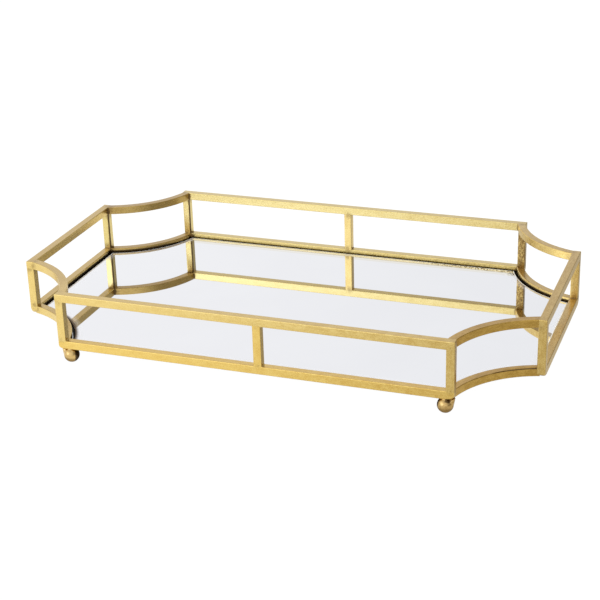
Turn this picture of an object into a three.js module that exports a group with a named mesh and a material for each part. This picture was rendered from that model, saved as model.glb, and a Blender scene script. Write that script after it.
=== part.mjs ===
// Vanity tray: a mirror plate in an open gallery of square bar, standing on four ball feet.
// Millimetres, +Z up. The origin is on the table, under the middle of the tray.
// +X runs along the length and -Y is the front.
import * as THREE from 'three';

// ---- Driving dimensions -------------------------------------------------------------------
const LENGTH = 416;             // outside, along X
const WIDTH = 246;              // outside, along Y
const BAR = 6.35;               // side of the square bar
const EDGE = 0.5;               // rounding along the edges of the bar
const LOWER_CORNER = 3.2;       // the bottom corners of the lower rails are ground round
const UPPER_CORNER = 1;
const GALLERY_HEIGHT = 44.5;    // underside of the lower ring to the top of the upper ring
const FOOT_DIAMETER = 12;
const FOOT_HEIGHT = 11.2;       // table to the underside of the lower ring
const FOOT_CENTRE = 5.85;       // height of the ball's centre, a little low, so it has a small flat
const FOOT_COLLAR_RADIUS = 4.4; // weld collar between the ball and the rail
const FOOT_X = 147.5;
const FRONT_LEFT_FOOT_X = 145.6; // this foot is set a little further in than the others
const ARC_RADIUS = 75;          // centreline of a corner arc
const ARC_OFFSET = 15;          // its centre lies this far outside the corner, along X and along Y
const FRONT_MID_POST_X = 8;     // the front middle post stands right of centre
const BACK_MID_POST_X = 0;
const GLASS_THICKNESS = 2;
const GLASS_TOP = 3.1;          // above the underside of the lower ring
const GLASS_CLEARANCE = 2.1;    // between the glass and the bars around it
const CARD_THICKNESS = 0.8;
const CARD_CLEARANCE = 0.4;
const CURVE_STEPS = 9;          // half the steps along a corner arc
const CORNER_STEPS = 3;
const BALL_STEPS = 10;
const TAB = { width: 12, length: 10, thickness: 0.8, underBar: 3.2, x: 78 };
const GAP = 0.3;                // between neighbouring pieces

// ---- Derived places -----------------------------------------------------------------------
const HALF_LENGTH = LENGTH / 2;
const HALF_WIDTH = WIDTH / 2;
const ARC_END = BAR + GAP;      // an arc stops this far inside the outer faces of the rails
const cornerReach = (radius, inset) =>
  Math.sqrt(radius ** 2 - (inset + ARC_OFFSET) ** 2) - ARC_OFFSET;
const RAIL_CUT = cornerReach(ARC_RADIUS - BAR / 2, ARC_END);
const LONG_RAIL = LENGTH - 2 * RAIL_CUT;
const SHORT_RAIL = WIDTH - 2 * RAIL_CUT;
const RAIL_X = HALF_LENGTH - BAR / 2;
const RAIL_Y = HALF_WIDTH - BAR / 2;
const LOWER_RING_Z = FOOT_HEIGHT;
const UPPER_RING_Z = FOOT_HEIGHT + GALLERY_HEIGHT - BAR;
const POST_LENGTH = UPPER_RING_Z - LOWER_RING_Z - BAR - 2 * GAP;
const GLASS_Z = LOWER_RING_Z + GLASS_TOP - GLASS_THICKNESS;
const CARD_Z = GLASS_Z - GAP - CARD_THICKNESS;
const TAB_Z = LOWER_RING_Z - GAP - TAB.thickness;

// ---- Materials ----------------------------------------------------------------------------
const gildedSteel = new THREE.MeshStandardMaterial({ color: 0xc9a55c, roughness: 0.42, metalness: 1 });
const gildedBrass = new THREE.MeshStandardMaterial({ color: 0xc8a058, roughness: 0.3, metalness: 1 });
const mirror = new THREE.MeshStandardMaterial({ color: 0xe9ecf0, roughness: 0.04, metalness: 1 });
const blackCard = new THREE.MeshStandardMaterial({ color: 0x1c1b1a, roughness: 0.9, metalness: 0 });

const group = new THREE.Group();

function addPiece(name, geometry, material, x, y, z, turn = 0) {
  const mesh = new THREE.Mesh(geometry, material);
  mesh.name = name;
  mesh.position.set(x, y, z);
  mesh.rotation.z = turn;
  group.add(mesh);
}

// Extrudes an outline so that its long edges are rounded and its overall depth is the given one.
function roundedExtrusion(shape, depth, curveSegments) {
  const geometry = new THREE.ExtrudeGeometry(shape, {
    depth: depth - 2 * EDGE,
    bevelEnabled: true,
    bevelThickness: EDGE,
    bevelSize: EDGE,
    bevelOffset: -EDGE,
    bevelSegments: 2,
    curveSegments,
  });
  return geometry.translate(0, 0, EDGE);
}

function plainExtrusion(shape, depth, curveSegments) {
  return new THREE.ExtrudeGeometry(shape, { depth, bevelEnabled: false, curveSegments });
}

// ---- Straight rails -----------------------------------------------------------------------
// A rail lies along X on z = 0, centred in X and Y. Its bottom corners are ground round.
function railGeometry(length, cornerRadius) {
  const half = length / 2;
  const shape = new THREE.Shape();
  shape.moveTo(-half + cornerRadius, 0);
  shape.lineTo(half - cornerRadius, 0);
  shape.absarc(half - cornerRadius, cornerRadius, cornerRadius, -Math.PI / 2, 0, false);
  shape.lineTo(half, BAR);
  shape.lineTo(-half, BAR);
  shape.absarc(-half + cornerRadius, cornerRadius, cornerRadius, Math.PI, 1.5 * Math.PI, false);
  return roundedExtrusion(shape, BAR, CORNER_STEPS).rotateX(Math.PI / 2).translate(0, BAR / 2, 0);
}

function addRails() {
  const rings = [
    { ring: 'lower', z: LOWER_RING_Z, cornerRadius: LOWER_CORNER },
    { ring: 'upper', z: UPPER_RING_Z, cornerRadius: UPPER_CORNER },
  ];
  for (const { ring, z, cornerRadius } of rings) {
    const long = railGeometry(LONG_RAIL, cornerRadius);
    const short = railGeometry(SHORT_RAIL, cornerRadius);
    addPiece(`${ring}_rail_front`, long, gildedSteel, 0, -RAIL_Y, z);
    addPiece(`${ring}_rail_back`, long, gildedSteel, 0, RAIL_Y, z);
    addPiece(`${ring}_rail_left`, short, gildedSteel, -RAIL_X, 0, z, Math.PI / 2);
    addPiece(`${ring}_rail_right`, short, gildedSteel, RAIL_X, 0, z, Math.PI / 2);
  }
}

// ---- Corner arcs --------------------------------------------------------------------------
// The tray's corner is the origin and the tray lies towards -X and -Y. The arc bows into the
// tray and ends flat against the inner faces of the two rails.
const CORNERS = [
  { side: 'back_right', x: HALF_LENGTH, y: HALF_WIDTH, turn: 0 },
  { side: 'back_left', x: -HALF_LENGTH, y: HALF_WIDTH, turn: Math.PI / 2 },
  { side: 'front_left', x: -HALF_LENGTH, y: -HALF_WIDTH, turn: Math.PI },
  { side: 'front_right', x: HALF_LENGTH, y: -HALF_WIDTH, turn: 1.5 * Math.PI },
];

function arcGeometry() {
  const outer = ARC_RADIUS + BAR / 2;
  const inner = ARC_RADIUS - BAR / 2;
  const outerTilt = Math.asin((ARC_END + ARC_OFFSET) / outer);
  const innerTilt = Math.asin((ARC_END + ARC_OFFSET) / inner);
  const shape = new THREE.Shape();
  shape.absarc(ARC_OFFSET, ARC_OFFSET, outer, Math.PI + outerTilt, 1.5 * Math.PI - outerTilt, false);
  shape.absarc(ARC_OFFSET, ARC_OFFSET, inner, 1.5 * Math.PI - innerTilt, Math.PI + innerTilt, true);
  return roundedExtrusion(shape, BAR, CURVE_STEPS);
}

function addArcs() {
  const arc = arcGeometry();
  for (const { side, x, y, turn } of CORNERS) {
    addPiece(`lower_arc_${side}`, arc, gildedSteel, x, y, LOWER_RING_Z, turn);
    addPiece(`upper_arc_${side}`, arc, gildedSteel, x, y, UPPER_RING_Z, turn);
  }
}

// ---- Posts --------------------------------------------------------------------------------
function postGeometry() {
  const flat = BAR / 2 - EDGE;
  const quarter = Math.PI / 2;
  const shape = new THREE.Shape();
  shape.absarc(flat, flat, EDGE, 0, quarter, false);
  shape.absarc(-flat, flat, EDGE, quarter, 2 * quarter, false);
  shape.absarc(-flat, -flat, EDGE, 2 * quarter, 3 * quarter, false);
  shape.absarc(flat, -flat, EDGE, 3 * quarter, 4 * quarter, false);
  return plainExtrusion(shape, POST_LENGTH, 1);
}

function addPosts() {
  const post = postGeometry();
  const z = LOWER_RING_Z + BAR + GAP;
  const longEnd = (LONG_RAIL - BAR) / 2;
  const shortEnd = (SHORT_RAIL - BAR) / 2;
  for (const [side, y, middle] of [['front', -RAIL_Y, FRONT_MID_POST_X], ['back', RAIL_Y, BACK_MID_POST_X]]) {
    addPiece(`post_${side}_left`, post, gildedSteel, -longEnd, y, z);
    addPiece(`post_${side}_middle`, post, gildedSteel, middle, y, z);
    addPiece(`post_${side}_right`, post, gildedSteel, longEnd, y, z);
  }
  for (const [side, x] of [['left', -RAIL_X], ['right', RAIL_X]]) {
    addPiece(`post_${side}_front`, post, gildedSteel, x, -shortEnd, z);
    addPiece(`post_${side}_back`, post, gildedSteel, x, shortEnd, z);
  }
}

// ---- Feet ---------------------------------------------------------------------------------
// A ball with a small flat below, and a short collar of weld above that meets the rail.
function footGeometry() {
  const radius = FOOT_DIAMETER / 2;
  const flatTilt = Math.acos(FOOT_CENTRE / radius);
  const collarTilt = Math.PI - Math.asin(FOOT_COLLAR_RADIUS / radius);
  const profile = [new THREE.Vector2(0, 0)];
  for (let step = 0; step <= BALL_STEPS; step += 1) {
    const tilt = THREE.MathUtils.lerp(flatTilt, collarTilt, step / BALL_STEPS);
    profile.push(new THREE.Vector2(radius * Math.sin(tilt), FOOT_CENTRE - radius * Math.cos(tilt)));
  }
  profile.push(new THREE.Vector2(FOOT_COLLAR_RADIUS, FOOT_HEIGHT - GAP));
  profile.push(new THREE.Vector2(0, FOOT_HEIGHT - GAP));
  return new THREE.LatheGeometry(profile, 2 * BALL_STEPS).rotateX(Math.PI / 2);
}

function addFeet() {
  const foot = footGeometry();
  for (const [side, y, leftX] of [['front', -RAIL_Y, FRONT_LEFT_FOOT_X], ['back', RAIL_Y, FOOT_X]]) {
    addPiece(`foot_${side}_left`, foot, gildedBrass, -leftX, y, 0);
    addPiece(`foot_${side}_right`, foot, gildedBrass, FOOT_X, y, 0);
  }
}

// ---- Mirror, backing card and retaining tabs ----------------------------------------------
// The plate's outline follows the inside of the lower ring, a clearance away from it.
function plateShape(clearance) {
  const inset = BAR + clearance;
  const radius = ARC_RADIUS + BAR / 2 + clearance;
  const tilt = Math.asin((inset + ARC_OFFSET) / radius);
  const centreX = HALF_LENGTH + ARC_OFFSET;
  const centreY = HALF_WIDTH + ARC_OFFSET;
  const quarter = Math.PI / 2;
  const shape = new THREE.Shape();
  shape.absarc(centreX, centreY, radius, 3 * quarter - tilt, 2 * quarter + tilt, true);
  shape.absarc(-centreX, centreY, radius, 4 * quarter - tilt, 3 * quarter + tilt, true);
  shape.absarc(-centreX, -centreY, radius, quarter - tilt, tilt, true);
  shape.absarc(centreX, -centreY, radius, 2 * quarter - tilt, quarter + tilt, true);
  return shape;
}

function addPlates() {
  const glass = plainExtrusion(plateShape(GLASS_CLEARANCE), GLASS_THICKNESS, CURVE_STEPS);
  const card = plainExtrusion(plateShape(CARD_CLEARANCE), CARD_THICKNESS, CURVE_STEPS);
  addPiece('mirror_glass', glass, mirror, 0, 0, GLASS_Z);
  addPiece('backing_card', card, blackCard, 0, 0, CARD_Z);
}

// A tab is a strip fixed under a rail. The rail's inner face is y = 0 and +Y points inwards.
function addTabs() {
  const tab = new THREE.BoxGeometry(TAB.width, TAB.length, TAB.thickness)
    .translate(0, TAB.length / 2 - TAB.underBar, TAB.thickness / 2);
  const innerX = HALF_LENGTH - BAR;
  const innerY = HALF_WIDTH - BAR;
  const places = [
    ['front_left', -TAB.x, -innerY, 0],
    ['front_right', TAB.x, -innerY, 0],
    ['back_left', -TAB.x, innerY, Math.PI],
    ['back_right', TAB.x, innerY, Math.PI],
    ['left', -innerX, 0, 1.5 * Math.PI],
    ['right', innerX, 0, Math.PI / 2],
  ];
  for (const [side, x, y, turn] of places) {
    addPiece(`tab_${side}`, tab, gildedSteel, x, y, TAB_Z, turn);
  }
}

addRails();
addArcs();
addPosts();
addFeet();
addPlates();
addTabs();

export default group;
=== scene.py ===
import math
from functools import reduce

import bmesh
import bpy
import numpy as np
from mathutils import Matrix, Vector, noise


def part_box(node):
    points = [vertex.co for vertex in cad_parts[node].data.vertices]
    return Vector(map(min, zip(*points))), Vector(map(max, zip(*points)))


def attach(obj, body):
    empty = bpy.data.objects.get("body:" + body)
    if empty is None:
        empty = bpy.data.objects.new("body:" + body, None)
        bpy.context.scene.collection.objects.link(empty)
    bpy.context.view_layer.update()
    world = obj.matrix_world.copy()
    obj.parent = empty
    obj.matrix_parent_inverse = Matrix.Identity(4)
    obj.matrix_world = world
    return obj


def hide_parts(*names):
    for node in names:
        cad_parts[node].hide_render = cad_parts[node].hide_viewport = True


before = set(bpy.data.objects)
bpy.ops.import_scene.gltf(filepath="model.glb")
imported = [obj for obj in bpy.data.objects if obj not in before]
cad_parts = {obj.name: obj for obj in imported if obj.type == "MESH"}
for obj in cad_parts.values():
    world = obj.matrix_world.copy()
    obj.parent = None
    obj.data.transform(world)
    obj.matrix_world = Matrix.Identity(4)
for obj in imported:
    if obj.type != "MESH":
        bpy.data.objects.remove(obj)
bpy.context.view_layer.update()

MM = 0.001
UP = Vector((0, 0, 1))
OUTWARDS = {"front": Vector((0, -1, 0)), "back": Vector((0, 1, 0)),
            "left": Vector((-1, 0, 0)), "right": Vector((1, 0, 0))}
CORNERS = {"back_right": (1, 1), "back_left": (-1, 1), "front_left": (-1, -1), "front_right": (1, -1)}

# ---- Places taken from the frame ----------------------------------------------------------
LOWER_Z, LOWER_TOP = (corner.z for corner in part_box("lower_rail_front"))
UPPER_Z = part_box("upper_rail_front")[0].z
BAR = LOWER_TOP - LOWER_Z
RING_MIDDLES = (LOWER_Z + BAR / 2, UPPER_Z + BAR / 2)
HALF_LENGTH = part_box("lower_rail_right")[1].x
HALF_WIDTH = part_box("lower_rail_back")[1].y
LONG_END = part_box("lower_rail_front")[1].x
SHORT_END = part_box("lower_rail_right")[1].y
RAIL_X = HALF_LENGTH - BAR / 2
RAIL_Y = HALF_WIDTH - BAR / 2
GLASS_Z, GLASS_TOP = (corner.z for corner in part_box("mirror_glass"))
CARD_Z, CARD_TOP = (corner.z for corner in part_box("backing_card"))
GLASS_INSET = HALF_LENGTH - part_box("mirror_glass")[1].x
CARD_INSET = BAR + 0.15 * MM  # a close fit inside the rails
PLATE_SHIFT = 1.0 * MM        # the mirror comes this much closer to the right rail than to the others

# ---- Sizes of the finished pieces ---------------------------------------------------------
ARC_RADIUS = 75 * MM        # centreline of a corner arc
ARC_OFFSET = 15 * MM        # its centre lies this far outside the corner, along X and along Y
EDGE = 0.5 * MM             # rounding along the edges of the bar
LEAST_EDGE = 0.1 * EDGE     # and what is left of it at the very end
GROUND_CORNER = 3.2 * MM    # bottom corners of the lower rails
SHARP_CORNER = 2.0 * MM     # the front left one, which is ground less
LIP_DEPTH = 0.5 * MM        # how far the lip of a gaping seam sinks in
SLIM = 0.025 * MM           # posts and arcs are this much inside the faces of the rails they meet
BURY = 0.45 * MM            # and run this far into them, which closes the weld
WAVE = 0.05 * MM            # unevenness left by hand finishing
WELD_WAVE = 0.08 * MM       # unevenness of a weld
WELD_MARGIN = 0.35 * MM     # a weld stops this far from the edges of the bar
LUMPS = 700                 # lumps in a weld, per metre
FOOT_RADIUS = (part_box("foot_front_left")[1].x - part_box("foot_front_left")[0].x) / 2
FOOT_CENTRE = 5.85 * MM
NECK_BURY = 0.3 * MM        # the neck of weld on a ball runs this far into the rail
WEB_TOP = 1.0 * MM          # the weld between a ball and its rail's end leans out by this much on its way up
WEB_ANGLE = 0.42            # radians to each side of the rail's line
RIPPLE = 0.1 * MM           # waves in the faces of the card

# ---- How finely the meshes are divided ----------------------------------------------------
STEP = 1.6 * MM             # between stations along a bar
END_STEPS = 5               # extra stations round the corner of a rail's end
CORNER_STEPS = 3            # round each edge of the bar
FLAT_SHARES = (0.04, 0.27, 0.5, 0.73, 0.96)  # extra points across a flat face, close to its rounded edges
FOOT_RINGS, FOOT_TURNS, NECK_RINGS = 40, 56, 6
PLATE_ROWS = 36             # quads from the front to the back of the mirror and of the card
PLATE_ARC_STEPS, PLATE_LONG_STEPS = 28, 70  # along a corner arc and along the long side of their outline

# ---- How dark the leaf is at its welds, and the painted shade on its edges and the balls ---
# Up to 1 it turns smoke brown, and between the two crack-and-shade values it turns nearly black.
# Painted shade along the low outside edge of a rail, the tray side edges of an arc, and the front right edge
# of a post.
EDGE_SHADE, ARC_EDGE_SHADE, POST_EDGE_SHADE = 0.75, 0.7, 0.6
# Painted shade on the welds of the back left corner, and a deeper painted shade down the front right edge of
# the two back left posts; then cracked welds.
CORNER_WELD_SHADE, DEEP_EDGE_SHADE, CRACKED_WELD = 1.2, 1.5, 1.6
CRACK_AND_SHADE_START, CRACK_AND_SHADE_FULL = 1.05, 1.45
BALL_SHADE_ANGLE = -0.8           # the side of a ball with the most painted shade, in radians from +X
MOST_BALL_SHADE = {"left": 0.75, "right": 1.4}  # there, on the balls of each side
LEAST_BALL_SHADE = 0.3            # and elsewhere round the top of a ball
BALL_SHADE_START, BALL_SHADE_RISE = 0.28, 0.40  # it starts this far above a ball's middle and fills over this, in radii
LEAF_STEP = 431             # millimetres from one bar's stretch of leaf pattern to the next one's


# ---- Meshes -------------------------------------------------------------------------------
class Shell:
    """The vertices and faces of one piece, with each vertex's grain: millimetres along, across and up."""

    def __init__(self):
        self.points, self.grain, self.faces, self.paints = [], [], [], []
        # seam gives a vertex its share of darkening: weld smoke, cracks, and painted shade along edges and on
        # the balls.
        self.edge_mm, self.seam = {}, {}

    def add(self, point, grain):
        self.points.append(Vector(point))
        self.grain.append(tuple(grain))
        return len(self.points) - 1

    def face(self, indices, paint=0):
        self.faces.append(tuple(indices))
        self.paints.append(paint)

    def join(self, loops, paint=0):
        """Joins loops of vertex numbers one after the other."""
        for here, there in zip(loops, loops[1:]):
            for i in range(len(here)):
                j = (i + 1) % len(here)
                self.face((here[i], here[j], there[j], there[i]), paint)

    def tube(self, loops):
        """Joins the loops, and caps both ends."""
        self.join(loops)
        self.face(reversed(loops[0]))
        self.face(loops[-1])


def nearest_joint(points):
    """1 at a weld, falling to 0 a few millimetres away from it."""
    reach, fade = BAR / 2, 2.4 * MM
    distance = np.full(len(points), 1.0)
    for spot in JOINTS:
        distance = np.minimum(distance, np.linalg.norm(points - np.array(tuple(spot)), axis=1))
    return np.exp(-np.maximum(distance - reach, 0) / fade)


def uneven(mesh, depth):
    """Moves each vertex inwards a little, by how the same spot of metal was hammered and filed."""
    for vertex, normal in zip(mesh.vertices, [n.vector.copy() for n in mesh.vertex_normals]):
        slow = noise.noise(vertex.co * 45)
        quick = noise.noise(vertex.co * 260 + Vector((7, 3, 5)))
        vertex.co -= normal * depth * (0.5 + 0.35 * slow + 0.25 * quick)


def set_attribute(mesh, name, kind, field, values):
    mesh.attributes.new(name, kind, "POINT").data.foreach_set(field, np.array(values, np.float32).ravel())


def make_piece(name, shell, materials, slot, *nodes, depth=0.0, smooth_angle=38):
    mesh = bpy.data.meshes.new(name)
    mesh.from_pydata(shell.points, [], shell.faces)
    work = bmesh.new()
    work.from_mesh(mesh)
    bmesh.ops.recalc_face_normals(work, faces=work.faces)
    work.to_mesh(mesh)
    work.free()
    if depth:
        uneven(mesh, depth)
    set_attribute(mesh, "grain", "FLOAT_VECTOR", "vector", shell.grain)
    # Darkening near the welds, raised by each vertex's share of smoke and painted shade.
    weld_and_shade_share = nearest_joint(np.array([tuple(vertex.co) for vertex in mesh.vertices]))
    for number, share in shell.seam.items():
        weld_and_shade_share[number] = max(weld_and_shade_share[number], share)
    set_attribute(mesh, "weld_and_shade", "FLOAT", "value", weld_and_shade_share)
    if shell.edge_mm:
        far = 30.0
        distances = [shell.edge_mm.get(number, far) for number in range(len(shell.points))]
        set_attribute(mesh, "edge_mm", "FLOAT", "value", distances)
    for material in materials:
        mesh.materials.append(material)
    mesh.polygons.foreach_set("material_index", shell.paints)
    mesh.shade_smooth()
    mesh.set_sharp_from_angle(angle=math.radians(smooth_angle))
    mesh.update()
    piece = bpy.data.objects.new(name, mesh)
    bpy.context.scene.collection.objects.link(piece)
    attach(piece, "root")
    if nodes:
        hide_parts(*nodes)
    return piece


def rounded_section(left, right, low, high, rounding, outer_rounding=None):
    """Points round a rectangle, as (across, up) pairs. Only the low right corner takes outer_rounding."""
    outer_rounding = rounding if outer_rounding is None else outer_rounding
    corners = ((right, high, rounding), (left, high, rounding), (left, low, rounding),
               (right, low, outer_rounding))
    arcs = []
    for turn, (across, up, radius) in enumerate(corners):
        centre_across = across - radius * (1 if across == right else -1)
        centre_up = up - radius * (1 if up == high else -1)
        arc = []
        for step in range(CORNER_STEPS + 1):
            angle = (turn + step / CORNER_STEPS) * math.pi / 2
            arc.append((centre_across + radius * math.cos(angle), centre_up + radius * math.sin(angle)))
        arcs.append(arc)
    points = []
    for arc, following in zip(arcs, arcs[1:] + arcs[:1]):
        points += arc
        for share in FLAT_SHARES:
            points.append(tuple(a + (b - a) * share for a, b in zip(arc[-1], following[0])))
    return points


def rounding_in(distance, radius):
    """How far a corner of this radius has pulled in, this far from the end."""
    short = max(radius - distance, 0)
    return radius - math.sqrt(radius ** 2 - short ** 2)


def bar_loop(shell, centre, across, up, along_mm, section):
    """One station of a bar. Its grain runs in millimetres."""
    loop = []
    for a, u in section:
        loop.append(shell.add(centre + across * a + up * u, (along_mm, a / MM, u / MM)))
    return loop


def stations(length, radii):
    """Distances from one end of a bar to the other, closer together where the ends are rounded."""
    places = {0.0, length}
    for radius in radii:
        for step in range(1, END_STEPS + 1):
            pulled = radius * (1 - math.cos(step * math.pi / (2 * END_STEPS)))
            places |= {pulled, length - pulled}
    first, last = max(radii), length - max(radii)
    count = max(2, round((last - first) / STEP))
    places |= {first + (last - first) * step / count for step in range(count + 1)}
    ordered = sorted(places)
    kept = [ordered[0]]
    closest = 0.02 * MM
    for place in ordered[1:]:
        if place - kept[-1] > closest:
            kept.append(place)
    return kept


# ---- Rails, arcs and posts ----------------------------------------------------------------
def rail_shell(centre, along, outwards, half, z, grounds, seed):
    """A straight rail. Its two bottom corners are ground round, outside too, with the radii in grounds."""
    shell = Shell()
    loops = []
    for place in stations(2 * half, (EDGE, *grounds)):
        end = min(place, 2 * half - place)
        ground = grounds[0] if place < half else grounds[1]
        inset = rounding_in(end, EDGE)
        lift = max(inset, rounding_in(end, ground))
        reach = BAR / 2 - inset
        bottom = lift - BAR / 2
        edge = max(EDGE - inset, LEAST_EDGE)
        # The low outside edge is ground away more and more towards the end.
        ground_away = max(0, 1 - end / (1.8 * ground)) ** 1.5
        outer_edge = edge + (ground - EDGE) * 0.8 * ground_away
        section = rounded_section(-reach, reach, bottom, reach, edge, outer_edge)
        middle = centre + along * (place - half) + UP * (z + BAR / 2)
        loops.append(bar_loop(shell, middle, outwards, UP, place / MM + seed, section))
        # Painted shade along the low outside edge.
        for number, (a, u) in zip(loops[-1], section):
            if a > reach - EDGE and u < bottom + EDGE:
                shell.seam[number] = EDGE_SHADE
    shell.tube(loops)
    return shell


def arc_shell(side_x, side_y, z, seed, seam=False):
    """A corner arc, with both ends buried in the rails. With a seam, it gapes towards the short rail."""
    shell = Shell()
    centre = Vector((side_x * (HALF_LENGTH + ARC_OFFSET), side_y * (HALF_WIDTH + ARC_OFFSET), z + BAR / 2))
    reach = BAR / 2 - SLIM
    bury = BURY + BAR / 2 * (BAR + ARC_OFFSET) / ARC_RADIUS
    first = math.asin((BAR - bury + ARC_OFFSET) / ARC_RADIUS)
    last = math.pi / 2 - first
    count = round((last - first) * ARC_RADIUS / STEP)
    section = rounded_section(-reach, reach, -reach, reach, EDGE)
    gaping_span = 0.72 * (last - first)
    loops = []
    for step in range(count + 1):
        angle = first + (last - first) * step / count
        outwards = Vector((-side_x * math.cos(angle), -side_y * math.sin(angle), 0))
        along_mm = ARC_RADIUS * angle / MM + seed
        loop = bar_loop(shell, centre + outwards * ARC_RADIUS, outwards, UP, along_mm, section)
        loops.append(loop)
        # The seam widens towards the short rail and its lip sinks in, and painted shade darkens it more as it
        # widens.
        gape = max(0, 1 - (last - angle) / gaping_span) ** 0.7
        seam_width = (0.3 + 1.7 * gape ** 3) * MM
        for number, (a, u) in zip(loop, section):
            # Painted shade along the edges on the tray side.
            if a < -reach + EDGE and abs(u) > reach - EDGE:
                shell.seam[number] = ARC_EDGE_SHADE
            if seam and a < -reach + seam_width and u > reach - EDGE:
                shell.seam[number] = EDGE_SHADE + 0.95 * gape
                shell.points[number] += (outwards - UP) * LIP_DEPTH * gape
    shell.tube(loops)
    return shell


def post_shell(x, y, seed, edge_shade, crack):
    """A post. Painted shade darkens its front right edge by the share given, and its weld may be cracked at
    one end.
    """
    shell = Shell()
    reach = BAR / 2 - SLIM
    bottom, top = LOWER_TOP - BURY, UPPER_Z + BURY
    count = round((top - bottom) / STEP)
    section = rounded_section(-reach, reach, -reach, reach, EDGE)
    cracked_step = {"top": count, "bottom": 0}.get(crack)
    margin = EDGE + (0.3 * MM if edge_shade > 1 else 0)
    loops = []
    for step in range(count + 1):
        z = bottom + (top - bottom) * step / count
        place = Vector((x, y, z))
        loops.append(bar_loop(shell, place, OUTWARDS["right"], OUTWARDS["back"], z / MM + seed, section))
        for number, (a, u) in zip(loops[-1], section):
            if step == cracked_step:
                shell.seam[number] = CRACKED_WELD
            elif a > reach - margin and u < -reach + margin:
                shell.seam[number] = edge_shade
    shell.tube(loops)
    return shell


def post_places():
    """Each post's node, place, and the directions along its rail in which it has a neighbouring gap."""
    front, back, left, right = OUTWARDS.values()
    places = {}
    for side, y in (("front", -RAIL_Y), ("back", RAIL_Y)):
        middle = sum(corner.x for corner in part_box(f"post_{side}_middle")) / 2
        places[f"post_{side}_left"] = (-LONG_END + BAR / 2, y, (right,))
        places[f"post_{side}_middle"] = (middle, y, (right, left))
        places[f"post_{side}_right"] = (LONG_END - BAR / 2, y, (left,))
    for side, x in (("left", -RAIL_X), ("right", RAIL_X)):
        places[f"post_{side}_front"] = (x, -SHORT_END + BAR / 2, (back,))
        places[f"post_{side}_back"] = (x, SHORT_END - BAR / 2, (front,))
    return places


def arc_crossings(side_x, side_y, radius):
    """Where a circle about an arc's centre meets the inner faces of the two rails, and its tilt there."""
    tilt = math.asin((BAR + ARC_OFFSET) / radius)
    along = radius * math.cos(tilt) - ARC_OFFSET
    on_long = Vector((side_x * (HALF_LENGTH - along), side_y * (HALF_WIDTH - BAR), 0))
    on_short = Vector((side_x * (HALF_LENGTH - BAR), side_y * (HALF_WIDTH - along), 0))
    return on_long, on_short, tilt


def joint_places():
    """The middle of each weld: post to rail, and arc to rail."""
    spots = []
    for x, y, _ in POSTS.values():
        spots += [Vector((x, y, LOWER_TOP)), Vector((x, y, UPPER_Z))]
    for side_x, side_y in CORNERS.values():
        for spot in arc_crossings(side_x, side_y, ARC_RADIUS)[:2]:
            spots += [spot + UP * z for z in RING_MIDDLES]
    return spots


def add_bars(gold):
    """Every bar. The leaf was laid by hand, and LEAF names the bars where it came out different, and the bars
    that take a paler lit copy and a browner shaded copy as painted light and shade.
    """
    def gild(node, shell):
        make_piece(f"gilt_{node}", shell, [LEAF.get(node, gold)], "gilt_bar", node, depth=WAVE)

    seed = 0
    for ring, z in (("lower", LOWER_Z), ("upper", UPPER_Z)):
        for side, outwards in OUTWARDS.items():
            seed += LEAF_STEP
            node = f"{ring}_rail_{side}"
            along = Vector((abs(outwards.y), abs(outwards.x), 0))
            reach, half = (RAIL_Y, LONG_END) if along.x else (RAIL_X, SHORT_END)
            grounds = (EDGE, EDGE) if ring == "upper" else (GROUND_CORNER, GROUND_CORNER)
            if node == "lower_rail_front":
                grounds = (SHARP_CORNER, GROUND_CORNER)
            gild(node, rail_shell(outwards * reach, along, outwards, half, z, grounds, seed))
        for side, (side_x, side_y) in CORNERS.items():
            seed += LEAF_STEP
            node = f"{ring}_arc_{side}"
            gild(node, arc_shell(side_x, side_y, z, seed, seam=node == "lower_arc_front_right"))
    for node, (x, y, _) in POSTS.items():
        seed += LEAF_STEP
        # The two back left posts get a deeper line of painted shade down their front right edge.
        edge_shade = DEEP_EDGE_SHADE if node in ("post_left_back", "post_back_left") else POST_EDGE_SHADE
        crack = {"post_back_left": "top", "post_right_back": "bottom"}.get(node)
        gild(node, post_shell(x, y, seed, edge_shade, crack))


# ---- Welds --------------------------------------------------------------------------------
def add_bead(shell, start, end, one, other, leg):
    """A small concave fillet from start to end, in the corner between the directions one and other."""
    steps, arc_steps = 8, 4
    sunk = 0.15 * MM
    loops = []
    for step in range(steps + 1):
        share = step / steps
        place = start.lerp(end, share)
        wobble = 1 + 0.35 * noise.noise(place * 900)
        taper = 0.55 + 0.45 * math.sin(math.pi * share) ** 0.5
        size = leg * wobble * taper
        root = place - (one + other) * sunk
        section = [root, root + one * (size + sunk)]
        for turn in range(1, arc_steps):
            angle = turn / arc_steps * math.pi / 2
            section.append(place + one * size * (1 - math.sin(angle)) + other * size * (1 - math.cos(angle)))
        section.append(root + other * (size + sunk))
        loops.append([shell.add(point, point / MM) for point in section])
    shell.tube(loops)


def post_welds(name):
    """Fillets in the corners between a post and the two rails."""
    x, y, gaps = POSTS[name]
    shell = Shell()
    for number, gap in enumerate(gaps):
        reach = Vector((gap.y, gap.x, 0)) * (BAR / 2 - WELD_MARGIN)
        for z, away in ((LOWER_TOP, 1), (UPPER_Z, -1)):
            corner = Vector((x, y, z)) + gap * BAR / 2
            leg = (0.75 + 0.35 * noise.noise(corner * LUMPS + Vector((number, 0, 0)))) * MM
            add_bead(shell, corner - reach, corner + reach, gap, UP * away, leg)
    return shell


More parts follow.
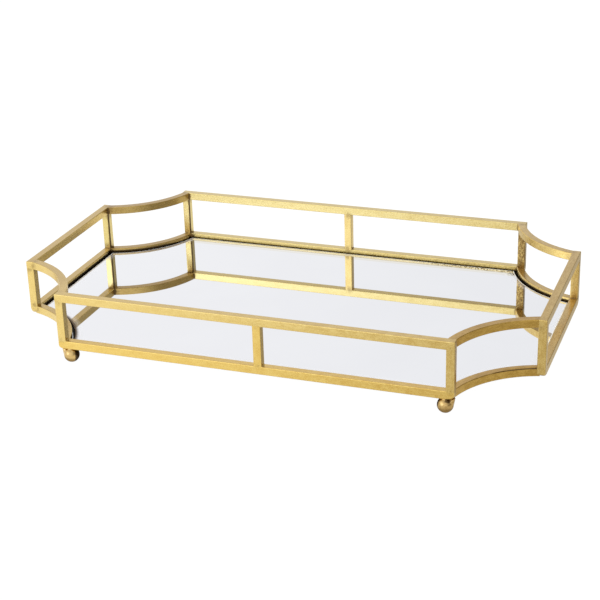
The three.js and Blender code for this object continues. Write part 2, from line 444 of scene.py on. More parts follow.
def arc_welds(side_x, side_y):
    """Fillets down the tray side of an arc, where it meets the two rails of each ring."""
    shell = Shell()
    on_long, on_short, tilt = arc_crossings(side_x, side_y, ARC_RADIUS + BAR / 2)
    ends = (
        (on_long, Vector((-side_x, 0, 0)), Vector((side_x * math.sin(tilt), -side_y * math.cos(tilt), 0))),
        (on_short, Vector((0, -side_y, 0)), Vector((-side_x * math.cos(tilt), side_y * math.sin(tilt), 0))),
    )
    back_left_corner = (side_x, side_y) == CORNERS["back_left"]
    heavy = 1.9 if back_left_corner else 1.0
    reach = UP * (BAR / 2 - WELD_MARGIN)
    for z in RING_MIDDLES:
        for place, on_rail, on_arc in ends:
            corner = place + UP * z
            leg = heavy * (0.95 + 0.5 * noise.noise(corner * LUMPS)) * MM
            add_bead(shell, corner - reach, corner + reach, on_rail, on_arc, leg)
    # Painted shade darkens the welds of this corner.
    if back_left_corner:
        shell.seam = dict.fromkeys(range(len(shell.points)), CORNER_WELD_SHADE)
    return shell


def add_welds(clean, smoked):
    looks = {"depth": WELD_WAVE, "smooth_angle": 70}
    for name in POSTS:
        gold = clean if name.startswith("post_front") else smoked
        make_piece(f"weld_{name}", post_welds(name), [gold], "gilt_bar", **looks)
    for side, (side_x, side_y) in CORNERS.items():
        make_piece(f"weld_arc_{side}", arc_welds(side_x, side_y), [smoked], "gilt_bar", **looks)


# ---- Feet ---------------------------------------------------------------------------------
def foot_shell(x, y):
    """A ball with a small flat below, a neck of weld above, a tongue of weld towards the rail's end, and
    painted shade round its top.
    """
    shell = Shell()
    centre = Vector((x, y, FOOT_CENTRE))
    side = math.copysign(1, x)
    lowest, highest = math.acos(FOOT_CENTRE / FOOT_RADIUS), math.radians(136)
    ceiling = LOWER_Z - FOOT_CENTRE
    slope = WEB_TOP / ceiling
    darkest_ball_shade = MOST_BALL_SHADE["right" if x > 0 else "left"]
    own_leaf = Vector((x * 900, y * 300, 0))  # no two balls show the same stretch of leaf

    def add(point, ball_shade):
        number = shell.add(point, (point - centre) / MM + own_leaf)
        shell.seam[number] = ball_shade
        return number

    def web(ray):
        """How much of the web's outline this ray takes, and how far out it lies."""
        turn = math.atan2(ray.y, side * ray.x)
        share = math.exp(-((turn / WEB_ANGLE) ** 4))
        plane = FOOT_RADIUS / max(abs(ray.x) - slope * ray.z, 0.3)
        roof = (ceiling + NECK_BURY) / max(ray.z, 0.05)
        return share, min(plane, roof)

    def ball_shade_at(angle, height, share):
        """Painted shade: most at the top of the side that the angle names, less on the web, and none lower
        down.
        """
        facing = max(0, math.cos(angle - BALL_SHADE_ANGLE)) ** 2
        climb = min(1, max(0, (height - BALL_SHADE_START) / BALL_SHADE_RISE))
        return (LEAST_BALL_SHADE + darkest_ball_shade * facing * (1 - 0.6 * share)) * climb

    loops = []
    for ring in range(FOOT_RINGS + 1):
        tilt = lowest + (highest - lowest) * ring / FOOT_RINGS
        loop, shares = [], []
        for turn in range(FOOT_TURNS):
            angle = turn / FOOT_TURNS * 2 * math.pi
            flat = Vector((math.cos(angle), math.sin(angle), 0))
            ray = Vector((math.sin(tilt) * flat.x, math.sin(tilt) * flat.y, -math.cos(tilt)))
            share, reach = web(ray)
            lump = 1 + 0.05 * noise.noise((centre + ray * FOOT_RADIUS) * LUMPS)
            extra = share * max(reach * lump - FOOT_RADIUS, 0) * min(1, max(0, ray.z * 8))
            loop.append(add(centre + ray * (FOOT_RADIUS + extra), ball_shade_at(angle, ray.z, share)))
            shares.append(share)
        loops.append(loop)
    last = loops[-1]
    for step in range(1, NECK_RINGS + 1):
        rise = step / NECK_RINGS
        loop = []
        for number, share in zip(last, shares):
            start = shell.points[number]
            pinch = (1 - share) * (0.30 + 0.03 * noise.noise(start * 800)) * math.sin(rise * math.pi / 2)
            waist = Vector((start.x - x, start.y - y, 0)) * (1 - pinch)
            z = start.z + (LOWER_Z + NECK_BURY - start.z) * rise
            loop.append(add(Vector((x + waist.x, y + waist.y, z)), shell.seam[number]))
        loops.append(loop)
    shell.tube(loops)
    return shell


def add_feet(gold):
    for side, (_, side_y) in CORNERS.items():
        node = f"foot_{side}"
        low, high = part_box(node)
        shell = foot_shell((low.x + high.x) / 2, side_y * RAIL_Y)
        make_piece(f"ball_{node}", shell, [gold], "gilt_ball", node, depth=0.02 * MM)


# ---- Mirror and card ----------------------------------------------------------------------
def plate_edge(inset):
    """The back half of a plate's outline from left to right. It keeps inset from the outside of the rails."""
    radius = ARC_RADIUS - BAR / 2 + inset
    tilt = math.asin((inset + ARC_OFFSET) / radius)
    left = []
    for step in range(PLATE_ARC_STEPS + 1):
        angle = math.pi / 2 - tilt - (math.pi / 2 - 2 * tilt) * step / PLATE_ARC_STEPS
        left.append((radius * math.cos(angle) - HALF_LENGTH - ARC_OFFSET,
                     HALF_WIDTH + ARC_OFFSET - radius * math.sin(angle)))
    right = [(-x, y) for x, y in reversed(left)]
    start, end = left[-1][0], right[0][0]
    y = left[-1][1]
    middle = [(start + (end - start) * step / PLATE_LONG_STEPS, y) for step in range(1, PLATE_LONG_STEPS)]
    return left + middle + right


def plate_grid(shell, inset, z, paint, height=None):
    """A flat sheet of quads inside the outline. Returns the numbers of its border, in order."""
    columns = []
    for x, y in plate_edge(inset):
        column = []
        for row in range(PLATE_ROWS + 1):
            point = Vector((x, y * (2 * row / PLATE_ROWS - 1), z))
            if height:
                point.z += height(point)
            column.append(shell.add(point, point / MM))
        columns.append(column)
    for here, there in zip(columns, columns[1:]):
        for row in range(PLATE_ROWS):
            shell.face((here[row], there[row], there[row + 1], here[row + 1]), paint)
    front = [column[0] for column in columns]
    right = columns[-1][1:-1]
    back = [column[-1] for column in reversed(columns)]
    left = columns[0][1:-1][::-1]
    return front + right + back + left


def border_loop(shell, inset, z, rough=0.0):
    """A loop that matches the border of a plate's grid, with an inset and height of its own."""
    edge = plate_edge(inset)
    shares = [2 * row / PLATE_ROWS - 1 for row in range(1, PLATE_ROWS)]
    (left, left_y), (right, right_y) = edge[0], edge[-1]
    places = [(x, -y) for x, y in edge]
    places += [(right, right_y * share) for share in shares]
    places += reversed(edge)
    places += [(left, left_y * share) for share in reversed(shares)]
    loop = []
    for x, y in places:
        point = Vector((x, y, z))
        inwards = Vector((-x, -y, 0)).normalized()
        point += inwards * rough * (0.5 + 0.5 * noise.noise(point * 420) + 0.3 * noise.noise(point * 1500))
        loop.append(shell.add(point, point / MM))
    return loop


def mirror_shell():
    """The plate: silvered floor, ground arris and clear edge, and painted underside."""
    silver, ground, paint = 0, 1, 2
    arris = 0.75 * MM
    inner_mm = 15.0
    shell = Shell()
    bands = [plate_grid(shell, GLASS_INSET + arris + inner_mm * MM, GLASS_TOP, silver)]
    shell.edge_mm = dict.fromkeys(bands[0], inner_mm)
    for distance in (10, 6.5, 4, 2.5, 1.5, 0.9, 0.4, 0):
        bands.append(border_loop(shell, GLASS_INSET + arris + distance * MM, GLASS_TOP))
        shell.edge_mm.update(dict.fromkeys(bands[-1], float(distance)))
    shell.join(bands, silver)
    half_way = border_loop(shell, GLASS_INSET + 0.3 * arris, GLASS_TOP - 0.08 * MM, 0.10 * MM)
    shoulder = border_loop(shell, GLASS_INSET, GLASS_TOP - 0.4 * MM, 0.12 * MM)
    foot = border_loop(shell, GLASS_INSET + 0.1 * MM, GLASS_Z + 0.2 * MM, 0.10 * MM)
    bottom = plate_grid(shell, GLASS_INSET + 0.35 * MM, GLASS_Z, paint)
    shell.join((bands[-1], half_way, shoulder, foot, bottom), ground)
    for point in shell.points:
        share = min(1, max(0, (point.x - LONG_END) / (RAIL_X - BAR - LONG_END)))
        point.x += PLATE_SHIFT * share
    return shell


def card_shell():
    """The card's faces are a little wavy, and its cut edge is soft."""
    shell = Shell()

    def ripple(point):
        return RIPPLE * noise.noise(point * 35)

    top = plate_grid(shell, CARD_INSET + 0.15 * MM, CARD_TOP, 0, lambda point: ripple(point) - RIPPLE)
    shoulder = border_loop(shell, CARD_INSET, CARD_TOP - 0.3 * MM, 0.1 * MM)
    foot = border_loop(shell, CARD_INSET, CARD_Z + 0.25 * MM, 0.1 * MM)
    bottom = plate_grid(shell, CARD_INSET + 0.15 * MM, CARD_Z, 0, ripple)
    shell.join((top, shoulder, foot, bottom))
    return shell


# ---- Tabs under the ring ------------------------------------------------------------------
def tab_shell(low, high, inwards):
    """A strip welded under a rail, joggled up to touch the card, with round corners and two weld dimples."""
    columns, across_steps = 30, 20
    corner = 1.6 * MM
    thickness, joggle = 0.75 * MM, 0.08 * MM
    worn_width, worn_depth = 0.2 * MM, 0.18 * MM
    dimple_place, dimple_radius, dimple_depth = 1.6 * MM, 0.9 * MM, 0.28 * MM
    shell = Shell()
    along = Vector((inwards.y, -inwards.x, 0))
    depth = abs((high - low).dot(inwards))
    half = abs((high - low).dot(along)) / 2
    start = (low + high) / 2 - inwards * depth / 2
    loops = []
    for column in range(columns + 1):
        place = depth * column / columns
        width = half - rounding_in(min(place, depth - place), corner)
        rise = joggle * math.sin(place / depth * math.pi)
        crossing = [width * (2 * step / across_steps - 1) for step in range(across_steps + 1)]
        loop = []
        for side, row in (("top", crossing), ("bottom", crossing[::-1])):
            for across in row:
                edge = min(1.0, (width - abs(across)) / worn_width)
                worn = worn_depth * (1 - math.sqrt(max(edge * (2 - edge), 0)))
                point = start + inwards * place + along * across
                if side == "top":
                    point.z = LOWER_Z - 0.02 * MM - worn + rise
                else:
                    dimple = 0.0
                    for spot in (-half / 2, half / 2):
                        apart = math.hypot(across - spot, place - dimple_place)
                        dimple += dimple_depth * math.exp(-((apart / dimple_radius) ** 2))
                    point.z = LOWER_Z - thickness + worn + rise + dimple
                loop.append(shell.add(point, point / MM))
        loops.append(loop)
    shell.tube(loops)
    return shell


def add_tabs(paint):
    for name in ("front_left", "front_right", "back_left", "back_right", "left", "right"):
        node = f"tab_{name}"
        low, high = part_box(node)
        shell = tab_shell(low, high, -OUTWARDS[name.split("_")[0]])
        make_piece(f"steel_{node}", shell, [paint], "tab_steel", node)


# ---- Materials ----------------------------------------------------------------------------
class Tree:
    """A short way to write node trees. A value is a number, a vector, a colour or a node's socket."""

    def __init__(self, tree):
        self.tree = tree
        tree.nodes.clear()

    def add(self, kind, inputs=None, **settings):
        node = self.tree.nodes.new(kind)
        for name, value in settings.items():
            setattr(node, name, value)
        for name, value in (inputs or {}).items():
            if isinstance(value, bpy.types.NodeSocket):
                self.tree.links.new(value, node.inputs[name])
            else:
                node.inputs[name].default_value = value
        return node

    def maths(self, operation, first, second=0.0):
        return self.add("ShaderNodeMath", {0: first, 1: second}, operation=operation).outputs[0]

    def total(self, *values):
        return reduce(lambda first, second: self.maths("ADD", first, second), values)

    def product(self, *values):
        return reduce(lambda first, second: self.maths("MULTIPLY", first, second), values)

    def dot(self, first, second):
        node = self.add("ShaderNodeVectorMath", {0: first, 1: second}, operation="DOT_PRODUCT")
        return node.outputs["Value"]

    def attribute(self, name, output):
        return self.add("ShaderNodeAttribute", attribute_name=name).outputs[output]

    def position(self):
        """Where the point is, as a vector and then as x, y and z."""
        place = self.add("ShaderNodeTexCoord").outputs["Object"]
        return (place, *self.add("ShaderNodeSeparateXYZ", {0: place}).outputs)

    def noise(self, vector, scale, detail=2.0, roughness=0.5, distortion=0.0):
        inputs = {"Vector": vector, "Scale": scale, "Detail": detail, "Roughness": roughness,
                  "Distortion": distortion}
        return self.add("ShaderNodeTexNoise", inputs).outputs["Fac"]

    def stretched(self, vector, scale):
        return self.add("ShaderNodeMapping", {"Vector": vector, "Scale": scale}).outputs["Vector"]

    def ranged(self, value, low, high, to_low=0.0, to_high=1.0):
        inputs = {"Value": value, "From Min": low, "From Max": high, "To Min": to_low, "To Max": to_high}
        return self.add("ShaderNodeMapRange", inputs, interpolation_type="SMOOTHSTEP").outputs["Result"]

    def mix(self, share, first, second, blend="MIX"):
        inputs = {0: share, 6: first, 7: second}
        return self.add("ShaderNodeMix", inputs, data_type="RGBA", blend_type=blend).outputs[2]

    def bump(self, height, strength, distance):
        inputs = {"Height": height, "Strength": strength, "Distance": distance}
        return self.add("ShaderNodeBump", inputs).outputs["Normal"]

    def surface(self, kind, inputs, output="ShaderNodeOutputMaterial"):
        """The last shader of the tree, and its output node."""
        self.add(output, {"Surface": self.add(kind, inputs).outputs[0]})


def new_material(name):
    material = bpy.data.materials.new(name)
    material.use_nodes = True
    return material, Tree(material.node_tree)


def rgb(red, green, blue):
    return (red, green, blue, 1.0)


UMBER = rgb(0.15, 0.085, 0.022)
SMOKE_AND_SHADE = rgb(0.19, 0.105, 0.03)
CRACK_AND_SHADE = rgb(0.075, 0.036, 0.006)
GAP_SHADE = rgb(0.06, 0.032, 0.010)
FRONT_LEFT_SHADE = rgb(0.13, 0.095, 0.07)


def gold_leaf(name, pale, mid, deep, along=0.5, speckle_share=1.0, roughness=0.27, pit_level=0.68, smoke_and_shade_strength=0.5,
              contrast=1.0):
    """Rubbed gold leaf: patches and streaks along the bar, speckle, pits, dark welds, and painted shade on
    its tops, along its edges and in the gap round the mirror.
    """
    pale, mid, deep = rgb(*pale), rgb(*mid), rgb(*deep)
    material, tree = new_material(name)
    grain = tree.attribute("grain", "Vector")
    weld_and_shade = tree.attribute("weld_and_shade", "Fac")
    patches = tree.noise(tree.stretched(grain, (along, 1, 1)), 0.25, 3, 0.55, 0.3)
    rubs = tree.noise(tree.stretched(grain, (along * 0.3, 1, 1)), 1.3, 4, 0.6, 0.4)
    mottle = tree.noise(grain, 0.62, 3, 0.65, 0.5)
    speckle = tree.noise(grain, 1.7, 2, 0.6)
    crumbs = tree.noise(grain, 0.95, 3, 0.7, 0.6)
    place, x, y, z = tree.position()

    # Patches, streaks and mottling take the leaf from deep ochre to pale lemon, most at the right.
    coarse = tree.ranged(x, -0.6 * HALF_LENGTH, 0.8 * HALF_LENGTH, 0.35 * contrast, contrast)
    worn = tree.total(tree.product(patches, 0.34), tree.product(rubs, 0.38), tree.product(mottle, 0.28))
    tone = tree.total(0.5, tree.product(coarse, tree.ranged(worn, 0.40, 0.60, -0.5, 0.5)))
    colour = tree.mix(tone, deep, pale)
    colour = tree.mix(0.42, colour, mid)

    # Speckle of bare and doubled leaf.
    share = tree.product(coarse, speckle_share)
    light_speck = tree.product(share, tree.ranged(speckle, 0.55, 0.70, 0.0, 0.45))
    colour = tree.mix(light_speck, colour, pale)
    dark_speck = tree.product(share, tree.ranged(speckle, 0.46, 0.30, 0.0, 0.55))
    colour = tree.mix(dark_speck, colour, deep)

    # Painted shade: what faces up or down is darker and greyer. The leaf is also darker and browner towards
    # the right-hand end of the tray.
    normal = tree.add("ShaderNodeNewGeometry").outputs["Normal"]
    level = tree.maths("ABSOLUTE", tree.add("ShaderNodeSeparateXYZ", {0: normal}).outputs["Z"])
    ends = tree.ranged(tree.maths("ABSOLUTE", x), LONG_END - 4 * MM, LONG_END + 8 * MM)
    painted_top_shade = tree.mix(ends, rgb(0.76, 0.72, 0.69), rgb(0.67, 0.615, 0.56))
    colour = tree.mix(tree.ranged(level, 0.6, 0.97), colour, painted_top_shade, "MULTIPLY")
    rightwards = tree.ranged(x, 0.0, 1.1 * HALF_LENGTH, 0.0, 0.75)
    colour = tree.mix(rightwards, colour, rgb(0.90, 0.86, 0.80), "MULTIPLY")

    # Umber pits, thick near the welds and rare along the bar, then smoke and cracks at the welds. The same
    # mask also carries the painted shade on edges, in the seam and on the balls.
    pitted_from = tree.maths("SUBTRACT", pit_level, tree.product(weld_and_shade, 0.15))
    pits = tree.ranged(crumbs, pitted_from, pit_level + 0.10, 0.0, 0.85)
    colour = tree.mix(pits, colour, UMBER)
    # smoked holds both weld smoke and painted shade.
    smoked = tree.product(weld_and_shade, tree.ranged(patches, 0.36, 0.62, 0.35, 1.0),
                          tree.ranged(y, -90 * MM, 0.0, 0.6, 1.0),
                          tree.ranged(x, -LONG_END - 6 * MM, -LONG_END + 6 * MM, 1.6, 1.0))
    colour = tree.mix(tree.ranged(smoked, 0.2, 1.0, 0.0, smoke_and_shade_strength), colour, SMOKE_AND_SHADE)
    # Cracks, and the deepest painted shade on edges, in the seam and on the balls, turn nearly black.
    colour = tree.mix(tree.ranged(weld_and_shade, CRACK_AND_SHADE_START, CRACK_AND_SHADE_FULL, 0.0, 0.9), colour, CRACK_AND_SHADE)

    # Painted shade on the tray side of the lower ring, low in the gap round the mirror. None is painted on
    # the right rail.
    inwards = tree.dot(normal, place)
    depth = tree.maths("SUBTRACT", z, tree.product(ends, 1.6 * MM))
    rail_face = HALF_LENGTH - BAR
    gap_shade = tree.product(tree.ranged(inwards, -0.03, -0.05),
                         tree.ranged(depth, GLASS_TOP - 0.6 * MM, GLASS_TOP + 0.5 * MM, 0.94, 0.0),
                         tree.ranged(x, rail_face - 1.0 * MM, rail_face - 0.3 * MM, 1.0, 0.0))
    colour = tree.mix(gap_shade, colour, GAP_SHADE)

    rough = tree.total(roughness - 0.08, tree.product(mottle, 0.2), tree.product(pits, 0.3))
    height = tree.total(tree.product(speckle, 0.5), tree.product(rubs, 0.6), tree.product(pits, -0.5))
    tree.surface("ShaderNodeBsdfPrincipled", {
        "Base Color": colour, "Metallic": 1.0, "Roughness": rough,
        "Normal": tree.bump(height, 0.25, 0.05 * MM), "Coat Weight": 0.35, "Coat Roughness": 0.25})
    return material


def front_left_shade(tree, x, y):
    """Painted shade on the rim of the mirror: 1 at the front left corner and 0 elsewhere."""
    left, front = -110 * MM, -SHORT_END + 14 * MM
    return tree.product(tree.ranged(x, left, left - 30 * MM), tree.ranged(y, front, -SHORT_END))


def silvering():
    """The mirror seen from above: faint smears, a tired grey edge, and painted reflection along the back
    edge.
    """
    material, tree = new_material("silvered_glass")
    grain = tree.attribute("grain", "Vector")
    edge_mm = tree.attribute("edge_mm", "Fac")
    _, x, y, _ = tree.position()
    smears = tree.noise(grain, 0.012, 3, 0.5, 0.6)
    dust = tree.noise(grain, 1.6, 2, 0.5)
    colour = tree.mix(tree.ranged(smears, 0.35, 0.7), rgb(0.862, 0.867, 0.890), rgb(0.874, 0.880, 0.902))
    colour = tree.mix(tree.ranged(dust, 0.74, 0.82, 0.0, 0.35), colour, rgb(0.6, 0.6, 0.6))

    # Painted reflection along the back edge: a cream band and lines, where the rail and the plate's ground
    # end would show through the glass.
    line_gap_mm, waver_mm = 4.6, 1.6
    back = tree.ranged(y, HALF_WIDTH - 22 * MM, HALF_WIDTH - 16 * MM)
    waver = tree.product(tree.noise(tree.stretched(grain, (0.03, 1, 1)), 0.5, 2), waver_mm)
    phase = tree.product(tree.total(edge_mm, waver), 2 * math.pi / line_gap_mm)
    reflected_lines = tree.ranged(tree.maths("SINE", phase), -0.8, 0.8)
    painted_reflection = tree.product(back, tree.ranged(edge_mm, 14.0, 4.0))
    colour = tree.mix(painted_reflection, colour, rgb(0.88, 0.845, 0.74))
    colour = tree.mix(tree.product(reflected_lines, 0.8, painted_reflection), colour, rgb(0.66, 0.61, 0.48))

    # The last millimetres have lost silver along the corner arcs, more so at the left.
    crumbs = tree.noise(grain, 0.9, 3, 0.7)
    lost = tree.product(tree.ranged(edge_mm, 2.8, 1.0), tree.ranged(edge_mm, 0.1, 0.7),
                        tree.ranged(crumbs, 0.38, 0.60, 0.25, 1.0),
                        tree.ranged(tree.maths("ABSOLUTE", y), SHORT_END - 8 * MM, SHORT_END),
                        tree.ranged(x, -50 * MM, 50 * MM, 1.0, 0.4))
    colour = tree.mix(lost, colour, rgb(0.36, 0.32, 0.30))

    # Silver has flaked off towards the right of the back edge, and stands up bright beside that.
    flaking = tree.product(tree.ranged(x, 50 * MM, 100 * MM), tree.ranged(edge_mm, 6.0, 2.5), back)
    flakes = tree.noise(tree.stretched(grain, (0.9, 0.5, 1)), 0.9, 2, 0.5)
    bare = tree.product(flaking, tree.ranged(flakes, 0.50, 0.44))
    colour = tree.mix(bare, colour, rgb(0.13, 0.09, 0.03))
    bright = tree.product(flaking, tree.ranged(flakes, 0.56, 0.60))
    colour = tree.mix(bright, colour, rgb(0.98, 0.97, 0.90))

    # The edge is less of a mirror, and no mirror where painted shade darkens it.
    dimmed = tree.product(tree.ranged(edge_mm, 7.0, 2.0), tree.ranged(back, 0.0, 1.0, 0.25, 0.6))
    shaded_rim = tree.product(front_left_shade(tree, x, y), tree.ranged(edge_mm, 1.5, 0.4))
    colour = tree.mix(shaded_rim, colour, FRONT_LEFT_SHADE)
    metal = tree.product(tree.maths("SUBTRACT", 1.0, dimmed), tree.maths("SUBTRACT", 1.0, shaded_rim))
    tree.surface("ShaderNodeBsdfPrincipled", {
        "Base Color": colour, "Metallic": metal, "Roughness": tree.ranged(smears, 0.4, 0.75, 0.008, 0.03),
        "IOR": 1.5})
    return material


def ground_glass():
    """The frosted arris and the edge below it."""
    material, tree = new_material("ground_glass_edge")
    _, x, y, _ = tree.position()
    chips = tree.noise(tree.attribute("grain", "Vector"), 1.3, 4, 0.7, 0.5)
    colour = tree.mix(tree.ranged(chips, 0.30, 0.5), rgb(0.80, 0.81, 0.80), rgb(0.97, 0.97, 0.96))
    # Painted shade at the front left corner.
    colour = tree.mix(front_left_shade(tree, x, y), colour, FRONT_LEFT_SHADE)
    tree.surface("ShaderNodeBsdfPrincipled", {
        "Base Color": colour, "Roughness": tree.ranged(chips, 0.3, 0.7, 0.5, 0.75), "IOR": 1.45,
        "Specular IOR Level": 0.25, "Normal": tree.bump(chips, 0.4, 0.1 * MM)})
    return material


def backing_paint():
    """The paint that protects the silver."""
    material, tree = new_material("mirror_backing_paint")
    grain = tree.attribute("grain", "Vector")
    cloud = tree.noise(grain, 0.08, 3)
    pits = tree.noise(grain, 0.9, 2)
    colour = tree.mix(cloud, rgb(0.17, 0.18, 0.19), rgb(0.23, 0.235, 0.24))
    tree.surface("ShaderNodeBsdfPrincipled", {
        "Base Color": colour, "Roughness": tree.ranged(pits, 0.3, 0.7, 0.45, 0.6),
        "Normal": tree.bump(pits, 0.3, 0.05 * MM)})
    return material


def black_card():
    """Black card with a felted fibre grain."""
    material, tree = new_material("black_card")
    grain = tree.attribute("grain", "Vector")
    fibres = tree.noise(tree.stretched(grain, (0.35, 1.6, 1)), 1.8, 4, 0.65, 1.2)
    cross = tree.noise(tree.stretched(grain, (1.6, 0.35, 1)), 1.5, 3, 0.6, 1.0)
    felt = tree.product(tree.total(fibres, cross), 0.5)
    cloud = tree.noise(grain, 0.03, 3)
    colour = tree.mix(tree.ranged(felt, 0.38, 0.64), rgb(0.010, 0.0095, 0.009), rgb(0.030, 0.028, 0.026))
    colour = tree.mix(tree.ranged(cloud, 0.4, 0.7, 0.0, 0.4), colour, rgb(0.036, 0.033, 0.030))
    tree.surface("ShaderNodeBsdfPrincipled", {
        "Base Color": colour, "Roughness": tree.ranged(felt, 0.35, 0.65, 0.78, 0.95),
        "Specular IOR Level": 0.3, "Normal": tree.bump(felt, 0.5, 0.08 * MM)})
    return material


# ---- Studio -------------------------------------------------------------------------------
def studio_world():
    """A pale studio: brightest in front and to the left, dim on the right, white above."""
    world = bpy.data.worlds.new("studio")
    bpy.context.scene.world = world
    world.use_nodes = True
    tree = Tree(world.node_tree)
    direction = tree.add("ShaderNodeTexCoord").outputs["Generated"]
    # Each region lies round a direction. Between two cosines to that direction it takes over.
    regions = (
        ((1, 0, 0), -0.60, 0.05, rgb(0.905, 0.91, 0.925)),             # the right half
        ((0.92, 0.38, 0.0), 0.22, 0.60, rgb(0.36, 0.34, 0.32)),        # the dim corner of the room
        ((-0.42, -0.82, 0.40), 0.55, 0.96, rgb(1.10, 1.10, 1.12)),     # the bright front
        ((-0.56, -0.76, 0.34), 0.925, 0.990, rgb(1.95, 2.08, 2.45)),   # the key light
        ((-0.76, -0.52, 0.38), 0.965, 0.998, rgb(1.7, 1.75, 1.7)),     # one beside it
        ((-0.45, -0.62, 0.64), 0.972, 0.997, rgb(1.7, 1.7, 1.7)),      # and one above it
        ((-0.25, -0.2, 1.0), 0.70, 0.92, rgb(1.02, 1.02, 1.02)),       # the ceiling
    )
    colour = rgb(1.0, 1.0, 1.01)
    for target, low, high, tint in regions:
        facing = tree.dot(direction, Vector(target).normalized())
        colour = tree.mix(tree.ranged(facing, low, high), colour, tint)
    tree.surface("ShaderNodeBackground", {"Color": colour, "Strength": 1.0}, "ShaderNodeOutputWorld")


def add_overhead_light():
    """A big soft lamp behind and to the right of the tray, which reflections don't show."""
    place = Vector((0.45, 0.35, 1.7))
    lamp = bpy.data.lights.new("overhead_light", "AREA")
    lamp.size = 0.9
    lamp.energy = 10
    light = bpy.data.objects.new("overhead_light", lamp)
    light.location = place
    light.rotation_mode = "QUATERNION"
    light.rotation_quaternion = place.to_track_quat("Z", "Y")
    light.visible_glossy = False
    bpy.context.scene.collection.objects.link(light)


def add_floor():
    """White paper. The camera sees it evenly lit. Reflections see painted light on it, warm on the left and
    dim on the right and at the back, and painted shade under the tray.
    """
    half = 6.0
    corners = [(x * half, y * half, 0) for x, y in ((-1, -1), (1, -1), (1, 1), (-1, 1))]
    mesh = bpy.data.meshes.new("floor")
    mesh.from_pydata(corners, [], [(0, 1, 2, 3)])
    material, tree = new_material("white_paper")
    _, x, y, _ = tree.position()
    # Painted light: bright and warm on the left, dim on the right, and dimmer towards the back.
    painted_floor_light = tree.mix(tree.ranged(x, -0.22, 0.40), rgb(1.04, 1.03, 0.98), rgb(0.50, 0.465, 0.40))
    painted_floor_light = tree.mix(tree.ranged(y, -0.13, 0.12), painted_floor_light, rgb(0.88, 0.87, 0.85), "MULTIPLY")
    size_x, size_y = tree.maths("ABSOLUTE", x), tree.maths("ABSOLUTE", y)

    def distance_from(place_x, place_y):
        across, along = tree.maths("SUBTRACT", size_x, place_x), tree.maths("SUBTRACT", size_y, place_y)
        return tree.maths("SQRT", tree.total(tree.product(across, across), tree.product(along, along)))

    # The shade under the tray follows its outline, and each ball has a shade of its own.
    past_side = tree.maths("MAXIMUM", tree.maths("SUBTRACT", size_x, HALF_LENGTH),
                           tree.maths("SUBTRACT", size_y, HALF_WIDTH))
    from_arc = distance_from(HALF_LENGTH + ARC_OFFSET, HALF_WIDTH + ARC_OFFSET)
    outside = tree.maths("MAXIMUM", past_side, tree.maths("SUBTRACT", ARC_RADIUS - BAR / 2, from_arc))
    painted_floor_light = tree.mix(tree.ranged(outside, -9 * MM, 3 * MM, 1.0, 0.0), painted_floor_light, rgb(0.16, 0.125, 0.085))
    from_foot = distance_from(LONG_END - BAR, RAIL_Y)
    painted_floor_light = tree.mix(tree.ranged(from_foot, 6 * MM, 15 * MM, 0.7, 0.0), painted_floor_light, rgb(0.20, 0.155, 0.10))

    seen = tree.add("ShaderNodeLightPath").outputs["Is Camera Ray"]
    diffuse = tree.add("ShaderNodeBsdfDiffuse").outputs[0]
    white = tree.add("ShaderNodeEmission", {"Strength": 1.06}).outputs[0]
    shown = tree.add("ShaderNodeMixShader", {0: 0.94, 1: diffuse, 2: white}).outputs[0]
    reflected = tree.add("ShaderNodeEmission", {"Color": painted_floor_light}).outputs[0]
    tree.surface("ShaderNodeMixShader", {0: seen, 1: reflected, 2: shown})
    mesh.materials.append(material)
    floor = bpy.data.objects.new("floor", mesh)
    bpy.context.scene.collection.objects.link(floor)


def add_camera():
    """Looks down on the front of the tray from its right, slightly rolled."""
    azimuth, elevation, roll = math.radians(20.244), math.radians(23.332), math.radians(1.726)
    distance = 1.1985
    target = Vector((-8.2 * MM, 14.5 * MM, LOWER_Z))
    back = Vector((math.sin(azimuth) * math.cos(elevation), -math.cos(azimuth) * math.cos(elevation),
                   math.sin(elevation)))
    right = Vector((math.cos(azimuth), math.sin(azimuth), 0))
    up = back.cross(right)
    axes = Matrix((right, up, back)).transposed() @ Matrix.Rotation(-roll, 3, "Z")
    camera = bpy.data.cameras.new("camera")
    camera.sensor_width, camera.lens = 36.0, 88.65
    camera.clip_start, camera.clip_end = 0.01, 50.0
    view = bpy.data.objects.new("camera", camera)
    view.matrix_world = Matrix.Translation(target + back * distance) @ axes.to_4x4()
    bpy.context.scene.collection.objects.link(view)
    bpy.context.scene.camera = view


# ---- The whole scene ----------------------------------------------------------------------
POSTS = post_places()
JOINTS = joint_places()

add_camera()
studio_world()
add_overhead_light()
add_floor()
bpy.context.scene.view_settings.view_transform = "Standard"

bar_gold = gold_leaf("gold_leaf", (0.98, 0.785, 0.33), (0.87, 0.66, 0.23), (0.66, 0.45, 0.125))
warm_gold = gold_leaf("warm_gold_leaf", (1.0, 0.78, 0.27), (0.92, 0.65, 0.175), (0.71, 0.45, 0.095))
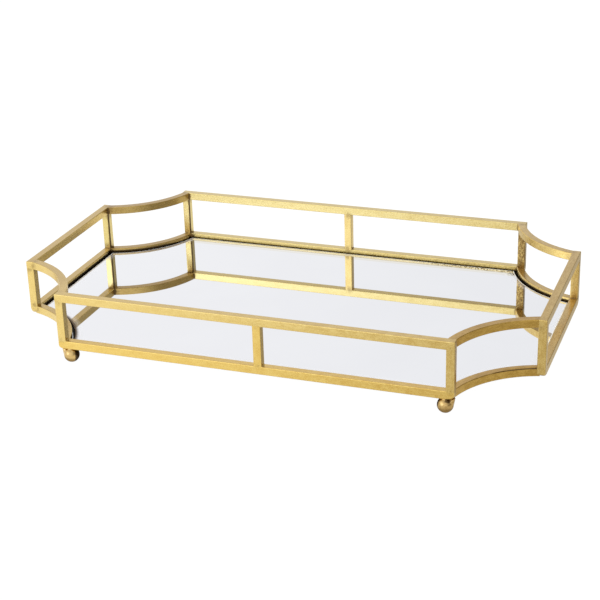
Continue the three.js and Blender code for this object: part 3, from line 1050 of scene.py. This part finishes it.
# A paler, less mottled copy of the leaf for the back rails and the back left posts. Its paleness is painted
# highlight, where those faces catch the bright front light.
lit_gold = gold_leaf("lit_gold_leaf", (0.98, 0.84, 0.40), (0.88, 0.72, 0.285), (0.66, 0.49, 0.15),
                      contrast=0.75)
mustard = gold_leaf("mustard_gold_leaf", (0.86, 0.60, 0.175), (0.72, 0.475, 0.105), (0.50, 0.31, 0.06))
# A browner, shaded copy of the leaf: painted shade for the back left arcs.
shaded_gold = gold_leaf("shaded_gold_leaf", (0.84, 0.64, 0.24), (0.64, 0.44, 0.13), (0.36, 0.22, 0.055))
flaked_gold = gold_leaf("flaked_gold_leaf", (0.90, 0.68, 0.24), (0.50, 0.33, 0.10), (0.22, 0.125, 0.03),
                        speckle_share=1.6, pit_level=0.53, contrast=2.0)
LEAF = {
    "lower_rail_front": warm_gold, "post_front_middle": warm_gold,
    "upper_rail_back": lit_gold, "lower_rail_back": lit_gold,
    "post_back_left": lit_gold, "post_left_back": lit_gold,
    "upper_arc_back_left": shaded_gold, "lower_arc_back_left": shaded_gold,
    "upper_arc_front_right": mustard, "lower_arc_front_right": mustard,
    "post_back_right": flaked_gold,
}
weld_gold = gold_leaf("smoked_weld", (0.66, 0.46, 0.17), (0.42, 0.27, 0.08), (0.22, 0.125, 0.035),
                      along=1.0, roughness=0.36, pit_level=0.60)
ball_gold = gold_leaf("gold_ball", (0.84, 0.63, 0.28), (0.71, 0.48, 0.18), (0.48, 0.30, 0.09),
                      along=1.0, speckle_share=0.2, roughness=0.21, pit_level=0.74, smoke_and_shade_strength=0.8)
tab_gold = gold_leaf("gold_paint", (0.72, 0.55, 0.22), (0.60, 0.43, 0.15), (0.40, 0.27, 0.09),
                     along=1.0, speckle_share=0.7, roughness=0.5)

add_bars(bar_gold)
add_welds(bar_gold, weld_gold)
add_feet(ball_gold)
make_piece("silvered_mirror", mirror_shell(), [silvering(), ground_glass(), backing_paint()], "mirror",
           "mirror_glass")
make_piece("black_backing_card", card_shell(), [black_card()], "card", "backing_card")
add_tabs(tab_gold)
